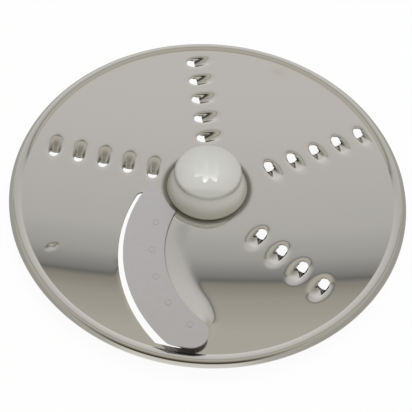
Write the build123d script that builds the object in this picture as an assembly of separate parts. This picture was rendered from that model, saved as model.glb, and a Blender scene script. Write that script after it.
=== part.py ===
from build123d import *
import os
from math import acos, asin, atan2, cos, degrees, hypot, radians, sin

# Food processor disc: a pressed steel plate with grating teeth, a welded slicing blade and a moulded hub.
# Millimetres, +Z up, origin at the centre of the hub's foot.

# Plate and rim bead
disc_radius = 87.5
sheet = 0.8
bead_height = 1.4
bead_crest_radius = 2.5
bead_root_radius = 3.5
bead_lip_sweep = 80.0

# Hub above and below the plate
hub_drop = 9.0
hub_rise = 12.6
hub_base_radius = 18.4
hub_top_radius = 14.2
hub_top_round = 1.3
hub_base_round = 0.8
hub_collar_radius = 18.0
hub_foot_radius = 15.5
hub_foot_round = 0.8

# Keyed centre hole of the plate, filled by the hub's neck
hole_radius = 12.0
key_count = 4
key_radius = 2.0
mould_clearance = 0.05

# Drive socket and coring of the collar
flute_count = 8
flute_radius = 6.2
flute_width = 1.9
flute_turn = -11.0
socket_radius = 4.1
socket_roof = 2.0
lead_in_radius = 7.0
lead_in_depth = 4.0
boss_wall = 2.4
collar_wall = 2.3
core_depth = 6.5
rib_count = 6
rib_thickness = 1.6

# Grating teeth: rows step clockwise, and each row starts further out than the last
row_count = 4
row_angle = 169.8
row_step = 70.0
row_radius = 25.1
row_stagger = 2.7
tooth_pitch = 11.6
tooth_rim_gap = 9.5
tooth_width = 4.2
tooth_gap = 2.3
tooth_run = 1.5
tooth_ramp = 7.2
tooth_edge_round = 0.7
tooth_rake = 6.0

# Slicing blade: a band between two arcs about its own centre, rising outwards from its tip
blade_tip_gap = 5.6
blade_tip_bearing = 177.5
blade_tip_angle = 147.9
blade_edge_radius = 62.4
blade_width = 17.5
blade_rim_gap = 6.5
blade_hub_gap = 1.6
blade_end_round = 7.0
blade_thickness = 0.9
blade_rise = 2.1
bevel_width = 2.6
edge_land = 0.15

# Slot under the cutting edge, and the raised pad that carries the blade
slot_gap = 2.1
blade_overhang = 3.7
slot_start_angle = 157.4
slot_rim_gap = 7.3
pad_ramp = 10.3
pad_inset = 0.6
pad_start_angle = 152.0
pad_rim_gap = 11.5
pad_end_width = 6.3
pad_end_run = 2.2
pad_hub_gap = 1.2
pad_corner_round = 5.0

# Heights and radii that follow
plate_bottom = hub_drop
plate_top = hub_drop + sheet
hub_top = plate_top + hub_rise
clear_height = 2 * hub_top
bowl = tooth_width / 2
trough_end = tooth_gap + tooth_run
tooth_field_radius = disc_radius - tooth_rim_gap
blade_back_radius = blade_edge_radius - blade_width
blade_reach = disc_radius - blade_rim_gap
slot_reach = disc_radius - slot_rim_gap
pad_reach = disc_radius - pad_rim_gap
slot_outer_radius = blade_edge_radius + slot_gap
slot_inner_radius = blade_edge_radius - blade_overhang
slot_width = slot_outer_radius - slot_inner_radius
slot_middle_radius = slot_inner_radius + slot_width / 2
pad_top_radius = blade_back_radius + pad_inset
pad_foot_radius = pad_top_radius - pad_ramp


def polar(centre, radius, angle):
    """Point at a radius and an angle in degrees about a centre."""
    return (centre[0] + radius * cos(radians(angle)), centre[1] + radius * sin(radians(angle)))


# The tip stands off the hub, and the arcs' common centre lies behind it
blade_tip = polar((0, 0), hub_base_radius + blade_tip_gap, blade_tip_bearing)
blade_centre = polar(blade_tip, -blade_edge_radius, blade_tip_angle)


def meeting_angle(radius, reach):
    """Angle about the blade's centre at which an arc leaves a circle about the disc's centre."""
    offset = hypot(*blade_centre)
    bearing = degrees(atan2(blade_centre[1], blade_centre[0]))
    opening = acos((reach**2 - offset**2 - radius**2) / (2 * offset * radius))
    return bearing - degrees(opening) + 360


def band_face(inner_radius, outer_radius, start_angle, end_angle, reach):
    """Band between two arcs of the blade's frame, cut off by a circle about the disc's centre."""
    sweep = end_angle - start_angle
    outer_side = CenterArc(blade_centre, outer_radius, start_angle, sweep)
    inner_side = CenterArc(blade_centre, inner_radius, end_angle, -sweep)
    end_side = Line(outer_side @ 1, inner_side @ 0)
    start_side = Line(inner_side @ 1, outer_side @ 0)
    return make_face([outer_side, end_side, inner_side, start_side]) & Circle(reach)


# The blade's plane turns about a line through its tip, so that its far end stands clear of the plate
edge_end_angle = meeting_angle(blade_edge_radius, blade_reach)
blade_far = polar(blade_centre, blade_edge_radius, edge_end_angle)
blade_length = hypot(blade_far[0] - blade_tip[0], blade_far[1] - blade_tip[1])
blade_tilt = degrees(asin(blade_rise / blade_length))
tilt_axis = Axis((*blade_tip, plate_top), (blade_far[1] - blade_tip[1], blade_tip[0] - blade_far[0], 0))


def raised(shape):
    """Move a shape drawn at height zero to the plate's top and tilt it into the blade's plane."""
    return (Pos(0, 0, plate_top) * shape).rotate(tilt_axis, blade_tilt)


def plate_blank():
    """Round sheet with a rolled bead at its rim, turned from one section."""
    bend_radii = bead_root_radius + bead_crest_radius
    root_sweep = degrees(acos(1 - bead_height / bend_radii))
    lip_reach = bead_crest_radius * sin(radians(bead_lip_sweep))
    crest = (disc_radius - lip_reach, plate_top + bead_height - bead_crest_radius)
    root = (crest[0] - bend_radii * sin(radians(root_sweep)), plate_top + bead_root_radius)
    bead_sweep = root_sweep + bead_lip_sweep
    top_flat = Line((0, plate_top), (root[0], plate_top))
    top_root = CenterArc(root, bead_root_radius, -90, root_sweep)
    top_crest = CenterArc(crest, bead_crest_radius, 90 + root_sweep, -bead_sweep)
    under_crest = CenterArc(crest, bead_crest_radius - sheet, 90 - bead_lip_sweep, bead_sweep)
    under_root = CenterArc(root, bead_root_radius + sheet, root_sweep - 90, -root_sweep)
    under_flat = Line((root[0], plate_bottom), (0, plate_bottom))
    lip = Line(top_crest @ 1, under_crest @ 0)
    axis_side = Line((0, plate_bottom), (0, plate_top))
    top_side = [top_flat, top_root, top_crest]
    under_side = [under_crest, under_root, under_flat]
    section = make_face([*top_side, lip, *under_side, axis_side])
    return revolve(Plane.XZ * section, Axis.Z)


def blade_pad():
    """Raised pad under the blade: a ramp on its trailing side that runs up to the blade's plane."""
    hub_side = hub_base_radius + pad_hub_gap
    foot_end_angle = meeting_angle(pad_top_radius, pad_reach - pad_end_width)
    top_end_angle = foot_end_angle - degrees(pad_end_run / pad_top_radius)
    foot = band_face(pad_foot_radius, slot_middle_radius, pad_start_angle, foot_end_angle, pad_reach)
    top = band_face(pad_top_radius, slot_middle_radius, pad_start_angle, top_end_angle, pad_reach - pad_end_run)
    foot_corner = foot.vertices().sort_by_distance(polar(blade_centre, pad_foot_radius, foot_end_angle))[0]
    top_corner = top.vertices().sort_by_distance(polar(blade_centre, pad_top_radius, top_end_angle))[0]
    foot = fillet(foot_corner, pad_corner_round) - Circle(hub_side)
    top = fillet(top_corner, pad_corner_round) - Circle(hub_side)
    return loft([Pos(0, 0, plate_top) * foot, raised(top)], ruled=True)


def slot_cutter():
    """Slot that lets slices through: a band under the cutting edge with a round inner end."""
    radii = (slot_inner_radius, slot_outer_radius)
    past_rim_angle = meeting_angle(slot_inner_radius, disc_radius)
    outline = band_face(*radii, slot_start_angle, past_rim_angle, slot_reach)
    outline += Pos(*polar(blade_centre, slot_middle_radius, slot_start_angle)) * Circle(slot_width / 2)
    return extrude(outline, clear_height)


def keyed_hole(clearance):
    """Outline of the centre hole with its keys, drawn smaller by a clearance."""
    outline = Circle(hole_radius - clearance)
    for place in PolarLocations(hole_radius, key_count):
        outline += place * Circle(key_radius - clearance)
    return outline


def tooth_places():
    """Place and direction of each tooth's mouth; its trough trails clockwise."""
    places = []
    for row in range(row_count):
        angle = row_angle - row * row_step
        first = row_radius + row * row_stagger
        count = int((tooth_field_radius - first) / tooth_pitch) + 1
        for step in range(count):
            spot = polar((0, 0), first + step * tooth_pitch, angle)
            places.append(Pos(*spot, plate_top) * Rot(0, 0, angle - 90 + tooth_rake))
    return places


def tooth_hollow():
    """Mouth and trough of one tooth, turned about the trough's own axis."""
    mouth = CenterArc((0, 0), bowl, 180, -90)
    side = Line((0, bowl), (trough_end, bowl))
    ramp = EllipticalCenterArc((trough_end, 0), tooth_ramp, bowl, start_angle=0, arc_size=90)
    axis_side = Line((trough_end + tooth_ramp, 0), (-bowl, 0))
    return revolve(make_face([mouth, side, ramp, axis_side]), Axis.X)


def tooth_shell():
    """Pressed wall round the trough, below the plate's top and open at the cutting lip."""
    wall = bowl + sheet
    lip = Line((tooth_gap, 0), (tooth_gap, wall))
    side = Line((tooth_gap, wall), (trough_end, wall))
    ramp = EllipticalCenterArc((trough_end, 0), tooth_ramp + sheet, wall, start_angle=0, arc_size=90)
    axis_side = Line((trough_end + tooth_ramp + sheet, 0), (tooth_gap, 0))
    turned = revolve(make_face([lip, side, ramp, axis_side]), Axis.X)
    return split(turned, Plane.XY, keep=Keep.BOTTOM)


def mouth_edges(plate, places):
    """Edges on the plate's top round the teeth."""
    reach = trough_end + tooth_ramp + sheet
    edges = plate.edges().filter_by(lambda edge: abs(edge.bounding_box().min.Z - plate_top) < sheet / 100)
    near = []
    for edge in edges:
        middle = edge.center()
        for place in places:
            spot = (place.inverse() * Pos(middle)).position
            if abs(spot.Y) <= tooth_width and -tooth_width <= spot.X <= reach:
                near.append(edge)
                break
    return near


def disc_plate():
    """Pressed plate: bead, raised blade pad, slot, keyed hole and grating teeth."""
    pad = blade_pad()
    plate = plate_blank() + pad - Pos(0, 0, -sheet) * pad
    plate -= slot_cutter()
    plate -= extrude(keyed_hole(0), clear_height)
    places = tooth_places()
    shell = tooth_shell()
    hollow = tooth_hollow()
    plate += [place * shell for place in places]
    plate -= [place * hollow for place in places]
    return fillet(mouth_edges(plate, places), tooth_edge_round)


def blade_outline():
    """Chain of arcs: cutting edge, rim side, round end and hollow back, then cleared round the hub."""
    end_angle = meeting_angle(blade_back_radius + blade_end_round, blade_reach - blade_end_round)
    end_centre = polar(blade_centre, blade_back_radius + blade_end_round, end_angle)
    end_bearing = degrees(atan2(end_centre[1], end_centre[0]))
    far_bearing = degrees(atan2(blade_far[1], blade_far[0]))
    edge = CenterArc(blade_centre, blade_edge_radius, blade_tip_angle, edge_end_angle - blade_tip_angle)
    rim_side = CenterArc((0, 0), blade_reach, far_bearing, end_bearing - far_bearing)
    round_end = CenterArc(end_centre, blade_end_round, end_bearing, end_angle - 180 - end_bearing)
    back = CenterArc(blade_centre, blade_back_radius, end_angle, blade_tip_angle - end_angle)
    outline = make_face([edge, rim_side, round_end, back, Line(back @ 1, edge @ 0)])

    hub_side = hub_base_radius + blade_hub_gap
    tangent_turn = degrees(acos(hub_side / hypot(*blade_tip)))
    tangent_spot = polar((0, 0), hub_side, blade_tip_bearing + tangent_turn)
    clearing = Circle(hub_side) + make_face(Polyline((0, 0), blade_tip, tangent_spot, close=True))
    return outline - clearing


def slicing_blade():
    """Flat crescent with a bevel ground under its convex edge."""
    blade = extrude(blade_outline(), blade_thickness)
    bevel_rise = blade_thickness - edge_land
    bevel = make_face(
        Polyline(
            (blade_edge_radius - bevel_width, 0),
            (blade_edge_radius + bevel_width, 2 * bevel_rise),
            (blade_edge_radius + bevel_width, -bevel_rise),
            (blade_edge_radius - bevel_width, -bevel_rise),
            close=True,
        )
    )
    blade -= Pos(*blade_centre) * revolve(Plane.XZ * bevel, Axis.Z)
    return raised(blade)


def drive_hub():
    """Moulded hub: closed cone above the plate, cored collar below, fluted drive socket from the foot."""
    cone_side = [(hub_base_radius, plate_top), (hub_top_radius, hub_top)]
    cone = make_face(Polyline((0, plate_top), *cone_side, (0, hub_top), close=True))
    cone = revolve(Plane.XZ * cone, Axis.Z)
    cone = fillet(cone.edges().sort_by(Axis.Z)[-1], hub_top_round)
    cone = fillet(cone.edges().sort_by(Axis.Z)[0], hub_base_round)
    collar_side = [(hub_foot_radius, 0), (hub_collar_radius, plate_bottom)]
    collar = make_face(Polyline((0, 0), *collar_side, (0, plate_bottom), close=True))
    collar = revolve(Plane.XZ * collar, Axis.Z)
    collar = fillet(collar.edges().sort_by(Axis.Z)[0], hub_foot_round)
    neck = Pos(0, 0, plate_bottom) * extrude(keyed_hole(mould_clearance), sheet)
    hub = cone + neck + collar

    star = Circle(socket_radius)
    for place in PolarLocations(flute_radius / 2, flute_count, start_angle=flute_turn):
        star += place * SlotOverall(flute_radius, flute_width)
    hub -= extrude(star, hub_top - socket_roof)
    hub -= extrude(Circle(lead_in_radius), lead_in_depth)

    coring = Circle(hub_foot_radius - collar_wall) - Circle(lead_in_radius + boss_wall)
    for place in PolarLocations(hub_foot_radius / 2, rib_count):
        coring -= place * Rectangle(hub_foot_radius, rib_thickness)
    return hub - extrude(coring, core_depth)


def main():
    os.makedirs("parts", exist_ok=True)
    export_step(disc_plate(), "parts/disc_plate.step")
    export_step(slicing_blade(), "parts/slicing_blade.step")
    export_step(drive_hub(), "parts/drive_hub.step")


main()
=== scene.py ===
from math import acos, asin, atan2, cos, degrees, hypot, radians, sin, sqrt, tan

import bpy
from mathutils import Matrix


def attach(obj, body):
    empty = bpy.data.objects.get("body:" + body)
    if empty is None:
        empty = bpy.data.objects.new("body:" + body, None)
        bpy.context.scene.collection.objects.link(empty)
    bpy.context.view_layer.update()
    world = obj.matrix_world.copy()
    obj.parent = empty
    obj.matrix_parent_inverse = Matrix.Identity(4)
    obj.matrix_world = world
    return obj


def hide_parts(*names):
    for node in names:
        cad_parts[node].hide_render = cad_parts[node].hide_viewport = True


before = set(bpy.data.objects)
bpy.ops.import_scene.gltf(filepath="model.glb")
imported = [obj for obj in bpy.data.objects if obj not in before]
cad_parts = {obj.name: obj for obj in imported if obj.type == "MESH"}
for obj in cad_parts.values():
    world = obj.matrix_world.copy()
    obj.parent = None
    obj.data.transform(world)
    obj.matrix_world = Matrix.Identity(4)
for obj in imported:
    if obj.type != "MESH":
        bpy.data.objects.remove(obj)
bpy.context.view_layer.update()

# Lengths are in millimetres and angles in degrees. Shapes have the plate's top at height zero
MM = 0.001
PLATE_TOP = 9.8
SHEET = 0.8
DISC_RADIUS = 87.47
ORIGIN = (0, 0, 0)
PUNCH_DEPTH = 20.0
TRIM_STEPS = 240
PRESS_EASE = 0.5
TINY = 1e-4
SEAM = 0.01
NODE_SEAM = 0.001
PLATE_CREASE = 40
BLADE_CREASE = 1
HUB_CREASE = 40

# Rolled bead at the rim
BEAD_ROOT = 0.8
BEAD_SLOPE = 21.0
BEAD_SHOULDER = 7.7
BEAD_CREST = 2.4
BEAD_CREST_SWEEP = 46.0
BEAD_LIP_RUN = 0.75
BEAD_BEND = 0.5
BEAD_ROOT_STEPS = 4
BEAD_SHOULDER_STEPS = 8
BEAD_CREST_STEPS = 10
BEAD_BEND_STEPS = 6
BEAD_STEPS = 300
FLAT_STRIP = 0.12
FLAT_EDGE = 80.5

# Hub and the plate's centre hole
HUB_BASE_RADIUS = 18.4
HUB_TOP_RADIUS = 14.7
HUB_RISE = 12.6
HUB_DOME = 200.0
HUB_TOP_ROUND = 1.4
HUB_WAIST = 26.0
HUB_WALL_LEAN = 4.0
HUB_CLEARANCE = 3.0
HUB_MIDDLE_SHARE = 0.02
HUB_BELOW = 1.0
HUB_DOME_STEPS = 10
HUB_ROUND_STEPS = 9
HUB_WAIST_STEPS = 16
HUB_STEPS = 128
HOLE_RADIUS = 12.0
HOLE_STEPS = 64

# Rows of grating teeth
ROW_COUNT = 4
ROW_ANGLE = 169.8
ROW_STEP = 70.0
ROW_RADIUS = 25.1
ROW_STAGGER = 2.7
TOOTH_PITCH = 11.6
TOOTH_FIELD = 78.0
TOOTH_RAKE = 6.0
MOUTH_MIDDLE = 0.35
MOUTH_RADIUS = 2.0
MOUTH_STEPS = 48
LIP_REACH = 1.95
TROUGH_MIDDLE = 2.2
TROUGH_STRAIGHT = 5.2
TROUGH_TAIL = 3.4
TROUGH_NOSE = 3.4
TROUGH_HALF_WIDTH = 2.5
TROUGH_SQUARENESS = 2.1
TROUGH_DEPTH = 2.6
TROUGH_HOLLOW = 1.6
TROUGH_STEPS = 64
DISH_HALF_LENGTH = 7.0
DISH_HALF_WIDTH = 3.7
DISH_DEPTH = 0.22
DISH_STEPS = 48
DISH_EASING = 24
TOOTH_CELL = 0.36
TOOTH_LENGTH = 56 * TOOTH_CELL
TOOTH_WIDTH = 32 * TOOTH_CELL
TOOTH_MIDDLE = 4.0
TOOTH_EASING = 8
TILE_HALF_LENGTH = 9.8
TILE_HALF_WIDTH = 5.6
TILE_STEPS = 72
TILE_LEVEL_FROM = 0.93

# Slicing blade, its pad and its slot, on arcs about the blade's own centre
EDGE_RADIUS = 62.4
BLADE_WIDTH = 17.5
BLADE_BACK = EDGE_RADIUS - BLADE_WIDTH
BLADE_RISE = 2.1
BLADE_REACH = 81.0
BLADE_THICKNESS = 0.9
BLADE_EDGE = 0.16
BLADE_EDGE_STEPS = 2
BLADE_EDGE_ANGLE = 40
BLADE_FLAT_ANGLE = 1
TIP_RADIUS = 24.0
TIP_BEARING = 177.5
TIP_ANGLE = 147.9
PAD_MARGIN = 0.6
PAD_RAMP = 8.6
PAD_TOP_RADIUS = BLADE_BACK + PAD_MARGIN
PAD_FOOT_RADIUS = PAD_TOP_RADIUS - PAD_RAMP
PAD_START_ANGLE = 152.0
PAD_REACH = 75.0
PAD_END_ANGLE = 238.5
PAD_CORNER_RUN = 11.0
PAD_CORNER = 8.2
PAD_END_EASE = 2.0
PAD_STEPS = 360
PAD_HUB_RADIUS = 19.6
PAD_HUB_STEPS = 96
PAD_SHEET_LOW = (-42.4, -81.6)
PAD_SHEET_HIGH = (15.2, -2.4)
PAD_TRIM_PLACE = (0, -14, 0)
PAD_TRIM_FACING = (0.45, 0.89, 0)
PAD_CELL = 0.8
PAD_EASING = 24
SLOT_BEHIND_EDGE = 3.7
SLOT_AHEAD_OF_EDGE = 2.1
SLOT_INNER = EDGE_RADIUS - SLOT_BEHIND_EDGE
SLOT_OUTER = EDGE_RADIUS + SLOT_AHEAD_OF_EDGE
SLOT_MIDDLE = (SLOT_INNER + SLOT_OUTER) / 2
SLOT_START_ANGLE = 157.4
SLOT_REACH = 80.2
SLOT_STEPS = 720
SLOT_END_STEPS = 48
WELD_PLACES = [(-20.7, -21.8), (-21.1, -35.9), (-18.2, -49.2), (-12.2, -61.2), (-2.6, -70.6)]
WELD_RADIUS = 1.3
WELD_GROOVE = 0.12
WELD_STEPS = 36
WELD_GROOVE_STEPS = 10

# Small knock in the flat near the rim: half-sizes and turn of each blow
DENT_PLACE = (-63.7, -37.3)
DENT_TURN = 11.3
DENT_KNOCKS = [((3.0, 1.2, 0.04), 20.0), ((1.8, 0.8, 0.06), -40.0)]
DENT_KNOCK_STEPS = 32
DENT_TILE = 4.4
DENT_CELL = 0.29
DENT_LEVEL_CELLS = 3
DENT_STEPS = 40
DENT_EASING = 13


def polar(centre, radius, angle):
    return (centre[0] + radius * cos(radians(angle)), centre[1] + radius * sin(radians(angle)))


def arc(centre, radius, start, end, steps):
    turn = end - start
    return [polar(centre, radius, start + turn * step / steps) for step in range(steps + 1)]


BLADE_TIP = polar((0, 0), TIP_RADIUS, TIP_BEARING)
BLADE_CENTRE = polar(BLADE_TIP, -EDGE_RADIUS, TIP_ANGLE)


def meeting_angle(radius, reach):
    """Angle about the blade's centre at which an arc leaves a circle about the disc's centre."""
    offset = hypot(*BLADE_CENTRE)
    bearing = degrees(atan2(BLADE_CENTRE[1], BLADE_CENTRE[0]))
    opening = acos((reach**2 - offset**2 - radius**2) / (2 * offset * radius))
    return bearing - degrees(opening) + 360


BLADE_FAR = polar(BLADE_CENTRE, EDGE_RADIUS, meeting_angle(EDGE_RADIUS, BLADE_REACH))
BLADE_LENGTH = hypot(BLADE_FAR[0] - BLADE_TIP[0], BLADE_FAR[1] - BLADE_TIP[1])
# Bearing and tilt of the blade, both in radians
BLADE_BEARING = atan2(BLADE_FAR[1] - BLADE_TIP[1], BLADE_FAR[0] - BLADE_TIP[0])
BLADE_TILT = asin(BLADE_RISE / BLADE_LENGTH)


# Handling of pieces

def deselect_all():
    bpy.ops.object.select_all(action="DESELECT")


def take(piece):
    deselect_all()
    bpy.context.view_layer.objects.active = piece
    piece.select_set(True)


def edit(piece):
    take(piece)
    bpy.ops.object.mode_set(mode="EDIT")


def leave():
    bpy.ops.object.mode_set(mode="OBJECT")


def pick_points(piece, wanted):
    """Select a piece's vertices by their place, and stay in edit mode."""
    edit(piece)
    bpy.ops.mesh.select_mode(type="VERT")
    bpy.ops.mesh.select_all(action="DESELECT")
    leave()
    for point in piece.data.vertices:
        point.select = wanted(point.co)
    edit(piece)


def pick_open_edges():
    """Select the edges that have a face on one side only."""
    bpy.ops.mesh.select_mode(type="EDGE")
    bpy.ops.mesh.select_all(action="DESELECT")
    bpy.ops.mesh.select_non_manifold(
        extend=False,
        use_wire=False,
        use_boundary=True,
        use_multi_face=False,
        use_non_contiguous=False,
        use_verts=False,
    )


def flatten_selected():
    """Bring what is selected back to the plate's top."""
    bpy.ops.transform.resize(value=(1, 1, 0), center_override=ORIGIN)


def level_points(piece, wanted):
    pick_points(piece, wanted)
    flatten_selected()
    leave()


def settle(piece):
    take(piece)
    bpy.ops.object.transform_apply(location=True, rotation=True, scale=True)


def finish_modifier(piece, modifier):
    take(piece)
    bpy.ops.object.modifier_apply(modifier=modifier.name)


def discard(piece):
    bpy.data.objects.remove(piece, do_unlink=True)


def join(name, pieces):
    take(pieces[0])
    for piece in pieces:
        piece.select_set(True)
    bpy.ops.object.join()
    pieces[0].name = name
    return pieces[0]


def merge(piece, gap):
    """Close a piece's seams and turn its faces outwards."""
    edit(piece)
    bpy.ops.mesh.select_all(action="SELECT")
    bpy.ops.mesh.remove_doubles(threshold=gap)
    bpy.ops.mesh.normals_make_consistent(inside=False)
    leave()


def cut(piece, punch, operation="DIFFERENCE"):
    cutter = piece.modifiers.new("cut", "BOOLEAN")
    cutter.operation = operation
    cutter.object = punch
    cutter.solver = "EXACT"
    finish_modifier(piece, cutter)
    discard(punch)


def press(sheet, die, upwards, passes):
    """Press a flat sheet onto a die and ease its bends."""
    wrap = sheet.modifiers.new("press", "SHRINKWRAP")
    wrap.target = die
    wrap.wrap_method = "PROJECT"
    wrap.use_project_z = True
    wrap.use_negative_direction = not upwards
    wrap.use_positive_direction = upwards
    finish_modifier(sheet, wrap)
    discard(die)
    ease = sheet.modifiers.new("ease", "SMOOTH")
    ease.factor = PRESS_EASE
    ease.iterations = passes
    ease.use_x = False
    ease.use_y = False
    finish_modifier(sheet, ease)


# Plain forms

def flat_sheet(low, high, cell):
    """Rectangle of square cells between two corners."""
    size = (high[0] - low[0], high[1] - low[1])
    deselect_all()
    bpy.ops.mesh.primitive_grid_add(
        x_subdivisions=round(size[0] / cell),
        y_subdivisions=round(size[1] / cell),
        size=1.0,
        location=((low[0] + high[0]) / 2, (low[1] + high[1]) / 2, 0),
    )
    sheet = bpy.context.object
    sheet.scale = (size[0], size[1], 1.0)
    settle(sheet)
    return sheet


def cylinder(radius, steps):
    deselect_all()
    bpy.ops.mesh.primitive_cylinder_add(vertices=steps, radius=radius, depth=PUNCH_DEPTH)
    return bpy.context.object


def ball(half_sizes, steps, place=ORIGIN, turn=0.0):
    """Rounded form with its own half-size along each axis."""
    deselect_all()
    bpy.ops.mesh.primitive_uv_sphere_add(segments=steps, ring_count=steps // 2, radius=1.0)
    piece = bpy.context.object
    piece.scale = half_sizes
    piece.location = place
    piece.rotation_euler = (0, 0, radians(turn))
    settle(piece)
    return piece


def rings(name, profile, steps):
    """Turned surface: a circle drawn along a profile of radii and heights."""
    radius, height = profile[0]
    deselect_all()
    bpy.ops.mesh.primitive_circle_add(vertices=steps, radius=radius, location=(0, 0, height))
    piece = bpy.context.object
    piece.name = name
    settle(piece)
    edit(piece)
    bpy.ops.mesh.select_all(action="SELECT")
    for next_radius, next_height in profile[1:]:
        climb = (0, 0, next_height - height)
        bpy.ops.mesh.extrude_region_move(TRANSFORM_OT_translate={"value": climb})
        growth = next_radius / radius
        bpy.ops.transform.resize(value=(growth, growth, 1), center_override=ORIGIN)
        radius, height = next_radius, next_height
    leave()
    return piece


def band(radii, start, end, steps):
    """Flat band through some radii between two angles, left in edit mode."""
    deselect_all()
    bpy.ops.mesh.primitive_circle_add(vertices=steps, radius=radii[0])
    piece = bpy.context.object

    def past_ends(place):
        return not start <= degrees(atan2(place.y, place.x)) % 360 <= end

    pick_points(piece, past_ends)
    bpy.ops.mesh.delete(type="VERT")
    bpy.ops.mesh.select_all(action="SELECT")
    for radius, next_radius in zip(radii, radii[1:]):
        growth = next_radius / radius
        bpy.ops.mesh.extrude_region_move()
        bpy.ops.transform.resize(value=(growth, growth, 1), center_override=ORIGIN)
    return piece


# Pressed plate

def rim_bead():
    """Bead from a crease over a low shoulder and crest, down a sloping lip to a tight bend."""
    height = (BEAD_ROOT + BEAD_SHOULDER) * (1 - cos(radians(BEAD_SLOPE)))
    fall = BEAD_LIP_RUN * tan(radians(BEAD_CREST_SWEEP))
    crest_radius = DISC_RADIUS - BEAD_BEND - BEAD_LIP_RUN
    crest_radius -= (BEAD_CREST - BEAD_BEND) * sin(radians(BEAD_CREST_SWEEP))
    crest = (crest_radius, height - BEAD_CREST)
    above_bend = polar(crest, BEAD_CREST - BEAD_BEND, 90 - BEAD_CREST_SWEEP)
    bend = (above_bend[0] + BEAD_LIP_RUN, above_bend[1] - fall)
    shoulder = (crest_radius, height - BEAD_SHOULDER)
    root = polar(shoulder, BEAD_SHOULDER + BEAD_ROOT, 90 + BEAD_SLOPE)
    profile = [(root[0] - FLAT_STRIP, 0.0)]
    profile += arc(root, BEAD_ROOT, -90, -90 + BEAD_SLOPE, BEAD_ROOT_STEPS)
    profile += arc(shoulder, BEAD_SHOULDER, 90 + BEAD_SLOPE, 90, BEAD_SHOULDER_STEPS)[1:]
    profile += arc(crest, BEAD_CREST, 90, 90 - BEAD_CREST_SWEEP, BEAD_CREST_STEPS)[1:]
    profile += arc(bend, BEAD_BEND, 90 - BEAD_CREST_SWEEP, 0, BEAD_BEND_STEPS)
    return rings("rim_bead", profile, BEAD_STEPS)


def hole_collar():
    """Narrow flat ring round the plate's centre hole, hidden by the hub."""
    profile = [(HOLE_RADIUS, 0.0), (HOLE_RADIUS + FLAT_STRIP, 0.0)]
    return rings("hole_collar", profile, HOLE_STEPS)


def trough_die():
    """Half-drop that presses one tooth: deep at its mouth, rising to its tail."""
    die = ball((TROUGH_TAIL, TROUGH_HALF_WIDTH, TROUGH_DEPTH), TROUGH_STEPS)
    pick_points(die, lambda place: place.x < -TINY)
    bpy.ops.transform.resize(value=(TROUGH_NOSE / TROUGH_TAIL, 1, 1), center_override=ORIGIN)
    leave()
    pick_points(die, lambda place: place.x > TINY)
    bpy.ops.transform.translate(value=(TROUGH_STRAIGHT, 0, 0))
    leave()
    run = TROUGH_STRAIGHT + TROUGH_TAIL
    for point in die.data.vertices:
        across = abs(point.co.y) / TROUGH_HALF_WIDTH
        down = abs(point.co.z) / TROUGH_DEPTH
        square = (across**TROUGH_SQUARENESS + down**TROUGH_SQUARENESS) ** (1 / TROUGH_SQUARENESS)
        filling = hypot(across, down) / max(square, TINY)
        along = min(max(point.co.x, 0) / run, 1)
        point.co.y *= filling
        point.co.z *= filling * (1 - along) ** TROUGH_HOLLOW
    die.location = (TROUGH_MIDDLE, 0, 0)
    settle(die)
    return die


def dish_die():
    """Low oval that sinks the sheet a little all round a tooth."""
    half_sizes = (DISH_HALF_LENGTH, DISH_HALF_WIDTH, DISH_DEPTH)
    return ball(half_sizes, DISH_STEPS, place=(TOOTH_MIDDLE, 0, 0))


def mouth_punch():
    """Punch of the tooth's mouth: round at its front, straight at the cutting lip."""
    punch = cylinder(MOUTH_RADIUS, MOUTH_STEPS)
    pick_points(punch, lambda place: place.x > TINY)
    bpy.ops.transform.resize(value=(0, 1, 1), center_override=ORIGIN)
    bpy.ops.transform.translate(value=(LIP_REACH, 0, 0))
    leave()
    punch.location = (MOUTH_MIDDLE, 0, 0)
    settle(punch)
    return punch


def tooth():
    """One grating tooth in an oval tile of sheet that is flat at its edge."""
    low = (TOOTH_MIDDLE - TOOTH_LENGTH / 2, -TOOTH_WIDTH / 2)
    high = (TOOTH_MIDDLE + TOOTH_LENGTH / 2, TOOTH_WIDTH / 2)
    tile = flat_sheet(low, high, TOOTH_CELL)
    press(tile, dish_die(), False, DISH_EASING)
    press(tile, trough_die(), False, TOOTH_EASING)
    oval = cylinder(1.0, TILE_STEPS)
    oval.scale = (TILE_HALF_LENGTH, TILE_HALF_WIDTH, 1)
    oval.location = (TOOTH_MIDDLE, 0, 0)
    settle(oval)
    cut(tile, oval, "INTERSECT")

    def at_edge(place):
        along = (place.x - TOOTH_MIDDLE) / TILE_HALF_LENGTH
        return hypot(along, place.y / TILE_HALF_WIDTH) > TILE_LEVEL_FROM

    level_points(tile, at_edge)
    cut(tile, mouth_punch())
    return tile


def tooth_rows():
    """Copies of the tooth in rows that step clockwise, each row further out than the last."""
    pattern = tooth()
    teeth = []
    for row in range(ROW_COUNT):
        angle = ROW_ANGLE - row * ROW_STEP
        first = ROW_RADIUS + row * ROW_STAGGER
        count = int((TOOTH_FIELD - first) / TOOTH_PITCH) + 1
        for step in range(count):
            copy = pattern.copy()
            copy.data = pattern.data.copy()
            bpy.context.scene.collection.objects.link(copy)
            copy.location = (*polar((0, 0), first + step * TOOTH_PITCH, angle), 0)
            copy.rotation_euler = (0, 0, radians(angle - 90 + TOOTH_RAKE))
            settle(copy)
            if max(hypot(point.co.x, point.co.y) for point in copy.data.vertices) > FLAT_EDGE:
                cut(copy, cylinder(FLAT_EDGE, BEAD_STEPS), "INTERSECT")
                level_points(copy, lambda place: hypot(place.x, place.y) > FLAT_EDGE - TOOTH_CELL)
            teeth.append(copy)
    discard(pattern)
    return teeth


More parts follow.
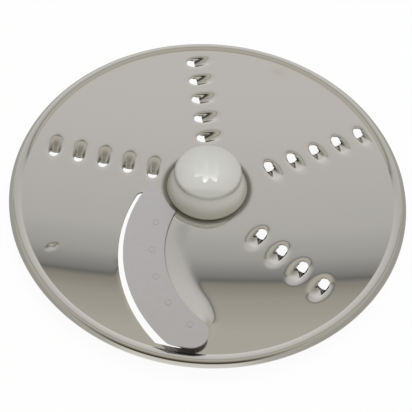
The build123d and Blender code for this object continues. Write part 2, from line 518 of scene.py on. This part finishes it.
def dent():
    """Small crooked knock in the flat, in a round tile of sheet that is flat at its edge."""
    tile = flat_sheet((-DENT_TILE, -DENT_TILE), (DENT_TILE, DENT_TILE), DENT_CELL)
    for half_sizes, turn in DENT_KNOCKS:
        press(tile, ball(half_sizes, DENT_KNOCK_STEPS, turn=turn), False, DENT_EASING)
    cut(tile, cylinder(DENT_TILE - DENT_CELL, DENT_STEPS), "INTERSECT")
    level_from = DENT_TILE - DENT_LEVEL_CELLS * DENT_CELL
    level_points(tile, lambda place: hypot(place.x, place.y) > level_from)
    tile.location = (*DENT_PLACE, 0)
    tile.rotation_euler = (0, 0, radians(DENT_TURN))
    settle(tile)
    return tile


def from_blade_centre(place):
    return hypot(place.x - BLADE_CENTRE[0], place.y - BLADE_CENTRE[1])


def blade_bearing(place):
    return degrees(atan2(place.y - BLADE_CENTRE[1], place.x - BLADE_CENTRE[0])) % 360


def pad_height(place):
    """Height of the tilted plane that carries the blade."""
    ahead, aside = place.x - BLADE_TIP[0], place.y - BLADE_TIP[1]
    run = ahead * cos(BLADE_BEARING) + aside * sin(BLADE_BEARING)
    return run * sin(BLADE_TILT)


def pad_die():
    """Die of the blade's pad: a ramp up to the blade's plane and a flat under the blade."""
    radii = (PAD_FOOT_RADIUS, PAD_TOP_RADIUS, SLOT_MIDDLE)
    die = band(radii, PAD_START_ANGLE, PAD_END_ANGLE, PAD_STEPS)
    leave()
    die.location = (*BLADE_CENTRE, 0)
    settle(die)
    halfway = (PAD_FOOT_RADIUS + PAD_TOP_RADIUS) / 2
    for point in die.data.vertices:
        bearing = blade_bearing(point.co)
        to_end = max(radians(PAD_END_ANGLE - bearing), 0) * PAD_FOOT_RADIUS
        if from_blade_centre(point.co) > halfway:
            fall = max(PAD_END_EASE - to_end, 0) / PAD_END_EASE
            point.co.z = pad_height(point.co) * sqrt(1 - fall**2)
        else:
            turned = max(PAD_CORNER_RUN - to_end, 0) / PAD_CORNER_RUN
            inset = PAD_CORNER * (1 - sqrt(1 - turned**2))
            point.co.x, point.co.y = polar(BLADE_CENTRE, PAD_FOOT_RADIUS + inset, bearing)
    cut(die, cylinder(PAD_HUB_RADIUS, PAD_HUB_STEPS))
    cut(die, cylinder(PAD_REACH, TRIM_STEPS), "INTERSECT")
    return die


def blade_pad():
    """Sheet pressed up into the pad, trimmed clear of the hub's hole and the bead."""
    sheet = flat_sheet(PAD_SHEET_LOW, PAD_SHEET_HIGH, PAD_CELL)
    press(sheet, pad_die(), True, PAD_EASING)
    edit(sheet)
    bpy.ops.mesh.select_all(action="SELECT")
    bpy.ops.mesh.bisect(plane_co=PAD_TRIM_PLACE, plane_no=PAD_TRIM_FACING, clear_outer=True)
    leave()
    cut(sheet, cylinder(FLAT_EDGE, BEAD_STEPS), "INTERSECT")
    edit(sheet)
    pick_open_edges()
    flatten_selected()
    leave()
    return sheet


def slot_punch():
    """Punch of the slot: a band under the cutting edge with a round inner end."""
    end_angle = meeting_angle(SLOT_INNER, DISC_RADIUS)
    punch = band((SLOT_INNER, SLOT_OUTER), SLOT_START_ANGLE, end_angle, SLOT_STEPS)
    bpy.ops.mesh.select_all(action="SELECT")
    bpy.ops.transform.translate(value=(0, 0, -PUNCH_DEPTH / 2))
    bpy.ops.mesh.extrude_region_move(TRANSFORM_OT_translate={"value": (0, 0, PUNCH_DEPTH)})
    bpy.ops.mesh.select_all(action="SELECT")
    bpy.ops.mesh.normals_make_consistent(inside=False)
    leave()
    punch.location = (*BLADE_CENTRE, 0)
    settle(punch)
    cut(punch, cylinder(SLOT_REACH, TRIM_STEPS), "INTERSECT")
    round_end = cylinder((SLOT_OUTER - SLOT_INNER) / 2, SLOT_END_STEPS)
    round_end.location = (*polar(BLADE_CENTRE, SLOT_MIDDLE, SLOT_START_ANGLE), 0)
    settle(round_end)
    cut(punch, round_end, "UNION")
    return punch


def fill_flat(plate):
    """Fill the flat between the bead, the hole, the pad and the tiles."""
    edit(plate)
    pick_open_edges()
    leave()
    points = plate.data.vertices
    for side in plate.data.edges:
        ends = [points[index].co for index in side.vertices]
        level = all(abs(end.z) < TINY for end in ends)
        outside_hole = all(hypot(end.x, end.y) > HOLE_RADIUS + FLAT_STRIP / 2 for end in ends)
        side.select = side.select and level and outside_hole
    for point in points:
        point.select = False
    for side in plate.data.edges:
        if side.select:
            for index in side.vertices:
                points[index].select = True
    edit(plate)
    bpy.ops.mesh.fill()
    leave()


def pressed_plate():
    """Plate joined from its formed parts, slotted and given the sheet's thickness."""
    pieces = [rim_bead(), hole_collar(), blade_pad(), dent(), *tooth_rows()]
    plate = join("pressed_plate", pieces)
    fill_flat(plate)
    cut(plate, slot_punch())
    merge(plate, SEAM)
    middle = max(plate.data.polygons, key=lambda face: face.area)
    if middle.normal.z < 0:
        edit(plate)
        bpy.ops.mesh.select_all(action="SELECT")
        bpy.ops.mesh.flip_normals()
        leave()
    wall = plate.modifiers.new("sheet", "SOLIDIFY")
    wall.thickness = SHEET
    wall.offset = -1.0
    finish_modifier(plate, wall)
    return plate


# Slicing blade and hub, taken over from their CAD nodes

def node_copy(node, name):
    """Merged copy of a CAD node's mesh in millimetres, with the plate's top at height zero."""
    deselect_all()
    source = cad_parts[node]
    piece = source.copy()
    piece.data = source.data.copy()
    piece.name = name
    bpy.context.scene.collection.objects.link(piece)
    piece.parent = None
    piece.matrix_world = source.matrix_world
    settle(piece)
    piece.scale = (1 / MM, 1 / MM, 1 / MM)
    piece.location = (0, 0, -PLATE_TOP)
    settle(piece)
    merge(piece, NODE_SEAM)
    return piece


def weld_mark(place):
    """Small ring that presses the mark of one spot weld."""
    deselect_all()
    bpy.ops.mesh.primitive_torus_add(
        major_radius=WELD_RADIUS,
        minor_radius=WELD_GROOVE,
        major_segments=WELD_STEPS,
        minor_segments=WELD_GROOVE_STEPS,
    )
    ring = bpy.context.object
    ring.location = (*place, 0)
    settle(ring)
    height = pad_height(ring.data.vertices[0].co)
    ring.location = (0, 0, height + BLADE_THICKNESS)
    settle(ring)
    return ring


def slicing_blade():
    """Blade with eased edges and the marks of its spot welds."""
    blade = node_copy("slicing_blade", "curved_blade")
    edit(blade)
    bpy.ops.mesh.select_all(action="SELECT")
    bpy.ops.mesh.dissolve_limited(angle_limit=radians(BLADE_FLAT_ANGLE))
    leave()
    edge = blade.modifiers.new("edge", "BEVEL")
    edge.width = BLADE_EDGE
    edge.segments = BLADE_EDGE_STEPS
    edge.limit_method = "ANGLE"
    edge.angle_limit = radians(BLADE_EDGE_ANGLE)
    finish_modifier(blade, edge)
    for place in WELD_PLACES:
        cut(blade, weld_mark(place))
    return blade


def hub_envelope():
    """Turned form of the hub above the plate: low dome, full round, side hollowed to its foot."""
    dome = (0.0, HUB_RISE - HUB_DOME)
    spot = HUB_TOP_RADIUS - HUB_TOP_ROUND
    height = sqrt((HUB_DOME - HUB_TOP_ROUND) ** 2 - spot**2) + dome[1]
    lean = degrees(asin(spot / (HUB_DOME - HUB_TOP_ROUND)))
    waist = polar((spot, height), HUB_TOP_ROUND + HUB_WAIST, HUB_WALL_LEAN)
    foot_turn = degrees(asin(waist[1] / HUB_WAIST))
    profile = arc(dome, HUB_DOME, 90 - lean * HUB_MIDDLE_SHARE, 90 - lean, HUB_DOME_STEPS)
    profile += arc((spot, height), HUB_TOP_ROUND, 90 - lean, HUB_WALL_LEAN, HUB_ROUND_STEPS)[1:]
    profile += arc(waist, HUB_WAIST, 180 + HUB_WALL_LEAN, 180 + foot_turn, HUB_WAIST_STEPS)[1:]
    clear = HUB_BASE_RADIUS + HUB_CLEARANCE
    profile += [(clear, 0.0), (clear, -PLATE_TOP - HUB_BELOW)]
    piece = rings("hub_envelope", profile, HUB_STEPS)
    edit(piece)
    pick_open_edges()
    bpy.ops.mesh.edge_face_add()
    bpy.ops.mesh.select_all(action="SELECT")
    bpy.ops.mesh.normals_make_consistent(inside=False)
    leave()
    return piece


def drive_hub():
    """Hub trimmed to the form that shows in the photo."""
    hub = node_copy("drive_hub", "moulded_hub")
    cut(hub, hub_envelope(), "INTERSECT")
    return hub


def place_piece(piece, node, material, crease):
    """Set a finished piece down in metres, at the plate's height, in the place of a CAD node."""
    piece.location = (0, 0, PLATE_TOP * MM)
    piece.scale = (MM, MM, MM)
    settle(piece)
    bpy.ops.object.shade_smooth_by_angle(angle=radians(crease))
    piece.data.materials.clear()
    piece.data.materials.append(material)
    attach(piece, "root")
    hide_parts(node)


# Nodes of materials

def bare_material(name):
    material = bpy.data.materials.new(name)
    material.use_nodes = True
    tree = material.node_tree
    tree.nodes.clear()
    output = tree.nodes.new("ShaderNodeOutputMaterial")
    return material, tree, output


def new_material(name):
    material, tree, output = bare_material(name)
    shader = tree.nodes.new("ShaderNodeBsdfPrincipled")
    tree.links.new(shader.outputs["BSDF"], output.inputs["Surface"])
    return material, tree, shader


def feed(tree, socket, value):
    """Link a socket to another one, or set it to a constant."""
    if isinstance(value, bpy.types.NodeSocket):
        tree.links.new(value, socket)
    else:
        socket.default_value = value


def maths(tree, operation, first, second=0.0):
    node = tree.nodes.new("ShaderNodeMath")
    node.operation = operation
    feed(tree, node.inputs[0], first)
    feed(tree, node.inputs[1], second)
    return node.outputs[0]


def product(tree, result, *others):
    for value in others:
        result = maths(tree, "MULTIPLY", result, value)
    return result


def metres(*lengths):
    return tuple(length * MM for length in lengths)


def object_place(tree):
    """Place on the piece, in metres."""
    return tree.nodes.new("ShaderNodeTexCoord").outputs["Object"]


def axes(tree, vector):
    split = tree.nodes.new("ShaderNodeSeparateXYZ")
    tree.links.new(vector, split.inputs[0])
    return split.outputs["X"], split.outputs["Y"], split.outputs["Z"]


def distance_from(tree, x, y, centre=(0, 0)):
    """Distance, seen from above, from an upright line through a point."""
    middle = metres(*centre)
    across = maths(tree, "SUBTRACT", x, middle[0])
    along = maths(tree, "SUBTRACT", y, middle[1])
    squares = maths(tree, "ADD", product(tree, across, across), product(tree, along, along))
    return maths(tree, "SQRT", squares)


def noise(tree, place, stretch, detail):
    """Noise in the piece's own frame, with its own number of waves per metre along each axis."""
    mapping = tree.nodes.new("ShaderNodeMapping")
    mapping.inputs["Scale"].default_value = stretch
    texture = tree.nodes.new("ShaderNodeTexNoise")
    texture.inputs["Scale"].default_value = 1.0
    texture.inputs["Detail"].default_value = detail
    tree.links.new(place, mapping.inputs["Vector"])
    tree.links.new(mapping.outputs["Vector"], texture.inputs["Vector"])
    return texture.outputs["Fac"]


def spread(tree, value, span, to=(0, 1), smooth=False):
    """Carry a value from one span over to another, held at both ends."""
    node = tree.nodes.new("ShaderNodeMapRange")
    if smooth:
        node.interpolation_type = "SMOOTHSTEP"
    tree.links.new(value, node.inputs["Value"])
    for name, number in zip(("From Min", "From Max", "To Min", "To Max"), (*span, *to)):
        node.inputs[name].default_value = number
    return node.outputs["Result"]


def colours(tree, value, stops):
    """Colour by a value, from stops of a position and a colour."""
    ramp = tree.nodes.new("ShaderNodeValToRGB")
    tree.links.new(value, ramp.inputs["Fac"])
    steps = ramp.color_ramp.elements
    while len(steps) < len(stops):
        steps.new(0.5)
    for step, (position, colour) in zip(steps, stops):
        step.position = position
        step.color = (*colour, 1)
    return ramp.outputs["Color"]


def blend(tree, share, base, cover):
    """Colour of a base under a share of a cover."""
    mix = tree.nodes.new("ShaderNodeMix")
    mix.data_type = "RGBA"
    feed(tree, mix.inputs["Factor"], share)
    feed(tree, mix.inputs["A"], base)
    feed(tree, mix.inputs["B"], cover)
    return mix.outputs["Result"]


# Polished sheet: painted shade in a ring round the hub, smears, smudge, painted shade in the
# troughs and a painted shade line behind the blade
# Plate's own colour, darkened to olive towards the hub's foot by a ring of painted shade
PLATE_TONE_AND_HUB_SHADE = [
    (0.0, (0.22, 0.215, 0.18)),
    (0.22, (0.25, 0.245, 0.21)),
    (0.42, (0.36, 0.355, 0.32)),
    (0.66, (0.59, 0.58, 0.55)),
    (1.0, (0.74, 0.73, 0.70)),
]
HUB_SHADE_RING = 2.4
STEEL_DETAIL = 3.0
SMEAR_GRAIN = (14, 45, 45)
SMEAR_SPAN = (0.35, 0.75)
PLATE_ROUGHNESS = (0.003, 0.02)
SMUDGE_PLACE = (30, 70)
SMUDGE_REACH = 8
SMUDGE_GRAIN = (260, 260, 260)
SMUDGE_SPAN = (0.4, 0.65)
SMUDGE_SHARE = 0.35
SMUDGE_COLOUR = (0.62, 0.565, 0.47, 1)
# Painted shade in the teeth's troughs: darker deeper down and on steep walls, with streaks
TROUGH_SHADE_FROM = 0.35
TROUGH_SHADE_FULL = 1.2
TROUGH_SHADE_STEEPNESS = (0.90, 0.68)
TROUGH_SHADE_ON_FLOOR = 0.25
TROUGH_SHADE_LIMIT = (79, 80)
TROUGH_SHADE_GRAIN = (700, 700, 160)
TROUGH_SHADE_SPAN = (0.4, 0.6)
TROUGH_SHADE_SHARE = (0.25, 0.9)
PAINTED_SHADE_COLOUR = (0.12, 0.112, 0.095, 1)
UPPER_SIDE = (0, 0.1)
# Painted shade line where the blade's back lies on the pad
JOINT_WIDTH = 0.6
JOINT_UNDER = 1.0
JOINT_END = 4.5
JOINT_FADE = 1.0
JOINT_SHADE_SHARE = 0.75


def smudge(tree, place, x, y):
    """Share of a faint patchy smudge towards the far rim."""
    distance = distance_from(tree, x, y, SMUDGE_PLACE)
    fading = spread(tree, distance, metres(0, SMUDGE_REACH), (1, 0), True)
    patches = noise(tree, place, SMUDGE_GRAIN, STEEL_DETAIL)
    return product(tree, fading, spread(tree, patches, SMUDGE_SPAN, (0, SMUDGE_SHARE)))


def painted_trough_shade(tree, place, z, reach, facing):
    """Share of streaky painted shade in the troughs, strongest on their steep walls."""
    depth = spread(tree, z, metres(PLATE_TOP - TROUGH_SHADE_FROM, PLATE_TOP - TROUGH_SHADE_FULL))
    steep = spread(tree, facing, TROUGH_SHADE_STEEPNESS, (TROUGH_SHADE_ON_FLOOR, 1))
    inside_rim = spread(tree, reach, metres(*TROUGH_SHADE_LIMIT), (1, 0))
    streaks = spread(tree, noise(tree, place, TROUGH_SHADE_GRAIN, STEEL_DETAIL), TROUGH_SHADE_SPAN, TROUGH_SHADE_SHARE)
    return product(tree, depth, steep, inside_rim, streaks)


def painted_joint_shade(tree, x, y):
    """Share of the painted shade line where the blade's back lies on the pad."""
    distance = distance_from(tree, x, y, BLADE_CENTRE)
    before = metres(BLADE_BACK - JOINT_WIDTH, BLADE_BACK)
    rising = spread(tree, distance, before, (0, JOINT_SHADE_SHARE), True)
    ending = spread(tree, x, metres(JOINT_END - JOINT_FADE, JOINT_END), (1, 0))
    under = spread(tree, distance, metres(BLADE_BACK, BLADE_BACK + JOINT_UNDER), (1, 0))
    return product(tree, rising, ending, under)


def polished_steel():
    """Bright rolled sheet with faint smears in its gloss, a smudge, and painted shade round the
    hub, in the troughs and behind the blade.
    """
    material, tree, shader = new_material("polished_steel")
    place = object_place(tree)
    x, y, z = axes(tree, place)
    facing = axes(tree, tree.nodes.new("ShaderNodeNewGeometry").outputs["Normal"])[2]
    reach = distance_from(tree, x, y)
    # Painted shade: a dark olive ring on the plate round the hub's foot
    ring = spread(tree, reach, metres(HUB_BASE_RADIUS, HUB_BASE_RADIUS + HUB_SHADE_RING))
    hub_shaded_tint = colours(tree, ring, PLATE_TONE_AND_HUB_SHADE)
    marked = blend(tree, smudge(tree, place, x, y), hub_shaded_tint, SMUDGE_COLOUR)
    # Painted shade in the troughs and along the blade's back, in one dark colour, on upward faces
    # only
    trough_shade = painted_trough_shade(tree, place, z, reach, facing)
    painted_shade = maths(tree, "MAXIMUM", trough_shade, painted_joint_shade(tree, x, y))
    painted_shade = product(tree, painted_shade, spread(tree, facing, UPPER_SIDE))
    feed(tree, shader.inputs["Base Color"], blend(tree, painted_shade, marked, PAINTED_SHADE_COLOUR))
    smear = noise(tree, place, SMEAR_GRAIN, STEEL_DETAIL)
    feed(tree, shader.inputs["Roughness"], spread(tree, smear, SMEAR_SPAN, PLATE_ROUGHNESS))
    shader.inputs["Metallic"].default_value = 1.0
    return material


# Satin steel of the blade
BLADE_GRAIN = (260, 260, 260)
BLADE_DETAIL = 4.0
BLADE_SPAN = (0.3, 0.7)
BLADE_STOPS = [(0.3, (0.77, 0.765, 0.80)), (0.7, (0.80, 0.795, 0.83))]
BLADE_ROUGHNESS = (0.40, 0.46)


def satin_steel():
    """Ground steel with fine cloudy grain."""
    material, tree, shader = new_material("satin_steel")
    grain = noise(tree, object_place(tree), BLADE_GRAIN, BLADE_DETAIL)
    feed(tree, shader.inputs["Base Color"], colours(tree, grain, BLADE_STOPS))
    feed(tree, shader.inputs["Roughness"], spread(tree, grain, BLADE_SPAN, BLADE_ROUGHNESS))
    shader.inputs["Metallic"].default_value = 1.0
    return material


# Moulded plastic: its painted shade by height and at the front, and the painted glow over the
# fluted socket
# Pale plastic's colour by height, with painted shade: dark olive towards the foot and a dark band
# under the top's edge
HUB_TONE_AND_PAINTED_SHADE = [
    (0.0, (0.42, 0.405, 0.34)),
    (0.16, (0.50, 0.49, 0.44)),
    (0.47, (0.79, 0.785, 0.745)),
    (0.63, (0.85, 0.85, 0.81)),
    (0.76, (0.82, 0.82, 0.78)),
    (0.86, (0.42, 0.42, 0.39)),
    (0.94, (0.42, 0.42, 0.395)),
    (1.0, (0.55, 0.558, 0.54)),
]
HUB_FRONT = (-8.5, -14.5)
HUB_FRONT_SHADE = 0.06
HUB_GRAIN = (90, 90, 90)
HUB_DETAIL = 2.0
HUB_MOTTLE = (-0.015, 0.015)
HUB_SPAN = (0.3, 0.7)
HUB_ROUGHNESS = (0.28, 0.36)
# Painted glow, as emission, of a fluted star in the hub's top, with streaks behind its front
STAR_FLUTES = 8.0
STAR_TURN = -11.0
STAR_OUTER = 7.1
STAR_INNER = 4.2
STAR_EDGE = (-0.2, 0.5)
STAR_FRONT = -6.0
STAR_FADE = 2.2
STAR_RIGHT = (4.2, 6.2)
STAR_BELOW_TOP = (1.5, 0.8)
STAR_GLOW_STRENGTH = 0.42
STAR_GLOW_COLOUR = (1.0, 0.97, 0.88, 1)
STREAK_STEP = 4.5
STREAK_SHIFT = 0.9
STREAK_SPAN = (-0.2, 1)
STREAK_FADE = 7.5
STREAK_SHARE = 0.30


def painted_star_glow(tree, x, y):
    """Painted glow of the fluted socket as seen through the hub's top, brightest in front."""
    reach = distance_from(tree, x, y)
    turn = maths(tree, "SUBTRACT", maths(tree, "ARCTAN2", y, x), radians(STAR_TURN))
    wave = maths(tree, "COSINE", product(tree, turn, STAR_FLUTES))
    middle, swing = metres((STAR_OUTER + STAR_INNER) / 2, (STAR_OUTER - STAR_INNER) / 2)
    outline = maths(tree, "ADD", product(tree, wave, swing), middle)
    inside = spread(tree, maths(tree, "SUBTRACT", outline, reach), metres(*STAR_EDGE), smooth=True)
    behind = maths(tree, "MAXIMUM", maths(tree, "SUBTRACT", y, STAR_FRONT * MM), 0.0)
    front = maths(tree, "EXPONENT", product(tree, behind, -1 / (STAR_FADE * MM)))
    kept = spread(tree, x, metres(*STAR_RIGHT), (1, 0), True)
    petals = product(tree, inside, front, kept)
    shifted = maths(tree, "ADD", x, STREAK_SHIFT * MM)
    comb = maths(tree, "COSINE", product(tree, shifted, radians(360) / (STREAK_STEP * MM)))
    column = spread(tree, comb, STREAK_SPAN, (0, STREAK_SHARE), True)
    core = spread(tree, reach, metres(STAR_OUTER, STAR_INNER), smooth=True)
    trail = maths(tree, "EXPONENT", product(tree, behind, -1 / (STREAK_FADE * MM)))
    return maths(tree, "MAXIMUM", petals, product(tree, column, core, trail))


def hub_plastic():
    """Slightly translucent moulding: pale, with painted shade towards its foot, under its top's
    edge and at its front, and a painted glow of a star in its top.
    """
    material, tree, shader = new_material("moulded_plastic")
    place = object_place(tree)
    x, y, z = axes(tree, place)
    top = PLATE_TOP + HUB_RISE
    climb = spread(tree, z, metres(PLATE_TOP, top))
    cloud = noise(tree, place, HUB_GRAIN, HUB_DETAIL)
    mottled = maths(tree, "ADD", climb, spread(tree, cloud, (0, 1), HUB_MOTTLE))
    # Painted shade that darkens the front of the hub
    front = spread(tree, y, metres(*HUB_FRONT), (0, HUB_FRONT_SHADE), True)
    level = maths(tree, "SUBTRACT", mottled, front)
    feed(tree, shader.inputs["Base Color"], colours(tree, level, HUB_TONE_AND_PAINTED_SHADE))
    feed(tree, shader.inputs["Roughness"], spread(tree, cloud, HUB_SPAN, HUB_ROUGHNESS))
    # Painted glow of the star, only near the top
    near_top = metres(*(top - below for below in STAR_BELOW_TOP))
    on_top = spread(tree, z, near_top, (0, STAR_GLOW_STRENGTH))
    shader.inputs["Emission Color"].default_value = STAR_GLOW_COLOUR
    feed(tree, shader.inputs["Emission Strength"], product(tree, painted_star_glow(tree, x, y), on_top))
    return material


# Floor
FLOOR_SIZE = 6000
FLOOR_COLOUR = (0.8, 0.8, 0.79, 1)
FLOOR_GLOW = 0.95
GLOW_COLOUR = (1, 1, 1, 1)
SHADE_AHEAD = (-22, -55)
SHADE_SHARE = 0.6
SHADE_RIM = (80, 88)


def floor():
    """White floor; mirrored, it is bright in front, dimmer elsewhere and paper under the part."""
    deselect_all()
    bpy.ops.mesh.primitive_plane_add(size=FLOOR_SIZE * MM)
    ground = bpy.context.object
    ground.name = "floor"
    material, tree, output = bare_material("white_floor")
    seen = tree.nodes.new("ShaderNodeLightPath").outputs
    x, y, _ = axes(tree, object_place(tree))
    beside = spread(tree, distance_from(tree, x, y), metres(*SHADE_RIM), smooth=True)
    mirrored = product(tree, seen["Is Glossy Ray"], beside)
    dimming = spread(tree, y, metres(*SHADE_AHEAD), (SHADE_SHARE, 0), True)
    direct = maths(tree, "MAXIMUM", seen["Is Camera Ray"], seen["Is Transmission Ray"])
    share = product(tree, maths(tree, "MAXIMUM", direct, mirrored), FLOOR_GLOW)
    paper = tree.nodes.new("ShaderNodeBsdfDiffuse")
    paper.inputs["Color"].default_value = FLOOR_COLOUR
    glow = tree.nodes.new("ShaderNodeEmission")
    glow.inputs["Color"].default_value = GLOW_COLOUR
    strength = maths(tree, "SUBTRACT", 1.0, product(tree, mirrored, dimming))
    feed(tree, glow.inputs["Strength"], strength)
    mix = tree.nodes.new("ShaderNodeMixShader")
    feed(tree, mix.inputs["Fac"], share)
    tree.links.new(paper.outputs["BSDF"], mix.inputs[1])
    tree.links.new(glow.outputs["Emission"], mix.inputs[2])
    tree.links.new(mix.outputs["Shader"], output.inputs["Surface"])
    ground.data.materials.append(material)


# Studio, by the angle from the far horizon over the zenith to the horizon behind the camera
HALF_TURN = 180
STUDIO_STOPS = [
    (0, (0.80, 0.79, 0.78)),
    (30, (0.76, 0.745, 0.73)),
    (47, (0.65, 0.635, 0.62)),
    (51, (0.63, 0.615, 0.60)),
    (56.5, (0.55, 0.54, 0.52)),
    (62.1, (0.51, 0.49, 0.44)),
    (65, (0.53, 0.51, 0.455)),
    (78, (0.50, 0.475, 0.42)),
    (88, (0.42, 0.395, 0.345)),
    (95, (0.33, 0.31, 0.265)),
    (102, (0.22, 0.205, 0.17)),
    (110, (0.11, 0.10, 0.082)),
    (118, (0.055, 0.05, 0.04)),
    (132, (0.06, 0.054, 0.043)),
    (137, (0.22, 0.205, 0.175)),
    (142, (0.66, 0.64, 0.60)),
    (148, (0.75, 0.735, 0.70)),
    (180, (0.80, 0.80, 0.79)),
]
# Dark line across the studio, by the angle from its middle
LINE_ANGLE = 59.30
LINE_REACH = 2.8
LINE_STOPS = [
    (-2.8, (0.55, 0.54, 0.52)),
    (-1.2, (0.43, 0.43, 0.42)),
    (-0.25, (0.26, 0.26, 0.255)),
    (0.0, (0.18, 0.18, 0.175)),
    (0.25, (0.30, 0.285, 0.25)),
    (1.0, (0.41, 0.39, 0.34)),
    (2.8, (0.51, 0.49, 0.44)),
]
# Bow of the bands, and the plain light at both sides, by how far a direction points sideways
STUDIO_ARCH = 20.0
STUDIO_ARCH_MIDDLE = -0.058
SIDE_STOPS = [
    (0.3, (0.52, 0.505, 0.465)),
    (0.6, (0.50, 0.485, 0.445)),
    (0.85, (0.41, 0.40, 0.37)),
]
SIDE_SPAN = (0.30, 0.62)


def studio():
    """Bands of light over the part that give way to plain light at both sides."""
    world = bpy.data.worlds.new("studio")
    bpy.context.scene.world = world
    world.use_nodes = True
    tree = world.node_tree
    tree.nodes.clear()
    x, y, z = axes(tree, tree.nodes.new("ShaderNodeTexCoord").outputs["Generated"])
    aside = maths(tree, "SUBTRACT", x, STUDIO_ARCH_MIDDLE)
    bow = product(tree, aside, aside, radians(STUDIO_ARCH))
    turn = maths(tree, "ADD", maths(tree, "ARCTAN2", z, y), bow)
    along = maths(tree, "DIVIDE", turn, radians(HALF_TURN))
    bands = colours(tree, along, [(angle / HALF_TURN, colour) for angle, colour in STUDIO_STOPS])

    first = (LINE_ANGLE - LINE_REACH) / HALF_TURN
    last = (LINE_ANGLE + LINE_REACH) / HALF_TURN
    stops = [((angle + LINE_REACH) / (2 * LINE_REACH), colour) for angle, colour in LINE_STOPS]
    line = colours(tree, spread(tree, along, (first, last)), stops)
    after_first = maths(tree, "GREATER_THAN", along, first)
    before_last = maths(tree, "LESS_THAN", along, last)
    lined = blend(tree, product(tree, after_first, before_last), bands, line)

    sideways = maths(tree, "ABSOLUTE", aside)
    side_share = spread(tree, sideways, SIDE_SPAN, smooth=True)
    light = blend(tree, side_share, lined, colours(tree, sideways, SIDE_STOPS))
    sky = tree.nodes.new("ShaderNodeBackground")
    output = tree.nodes.new("ShaderNodeOutputWorld")
    feed(tree, sky.inputs["Color"], light)
    tree.links.new(sky.outputs["Background"], output.inputs["Surface"])


# Lamp
LAMP_SIZE = 900
LAMP_POWER = 11
LAMP_PLACE = (140, 50, 1200)
LAMP_TURN = (-2.4, 6.7)


def lamps():
    """One large soft lamp overhead, which the steel doesn't mirror."""
    light = bpy.data.lights.new("softbox", "AREA")
    light.shape = "RECTANGLE"
    light.size = LAMP_SIZE * MM
    light.size_y = LAMP_SIZE * MM
    light.energy = LAMP_POWER
    lamp = bpy.data.objects.new("softbox", light)
    bpy.context.scene.collection.objects.link(lamp)
    lamp.location = metres(*LAMP_PLACE)
    lamp.rotation_euler = (radians(LAMP_TURN[0]), radians(LAMP_TURN[1]), 0)
    lamp.visible_glossy = False


# Camera fitted to the disc's outline, with its focal length and shift in pixels of the photo
CAMERA_BACK = 266.7
CAMERA_UP = 367.7
CAMERA_PITCH = 55.226
CAMERA_TURN = 5.32
PHOTO_WIDTH = 412
FOCAL_PIXELS = 1025.4
SHIFT_PIXELS = 54.9
SENSOR_WIDTH = 36.0
CLIP_START = 10


def camera():
    lens = bpy.data.cameras.new("photo_camera")
    view = bpy.data.objects.new("photo_camera", lens)
    bpy.context.scene.collection.objects.link(view)
    view.location = (0, -CAMERA_BACK * MM, (CAMERA_UP + PLATE_TOP) * MM)
    view.rotation_euler = (radians(90 - CAMERA_PITCH), 0, radians(CAMERA_TURN))
    lens.sensor_width = SENSOR_WIDTH
    lens.lens = FOCAL_PIXELS / PHOTO_WIDTH * SENSOR_WIDTH
    lens.shift_x = SHIFT_PIXELS / PHOTO_WIDTH
    lens.clip_start = CLIP_START * MM
    bpy.context.scene.camera = view


place_piece(pressed_plate(), "disc_plate", polished_steel(), PLATE_CREASE)
place_piece(slicing_blade(), "slicing_blade", satin_steel(), BLADE_CREASE)
place_piece(drive_hub(), "drive_hub", hub_plastic(), HUB_CREASE)
floor()
studio()
lamps()
camera()
bpy.context.scene.view_settings.view_transform = "Standard"
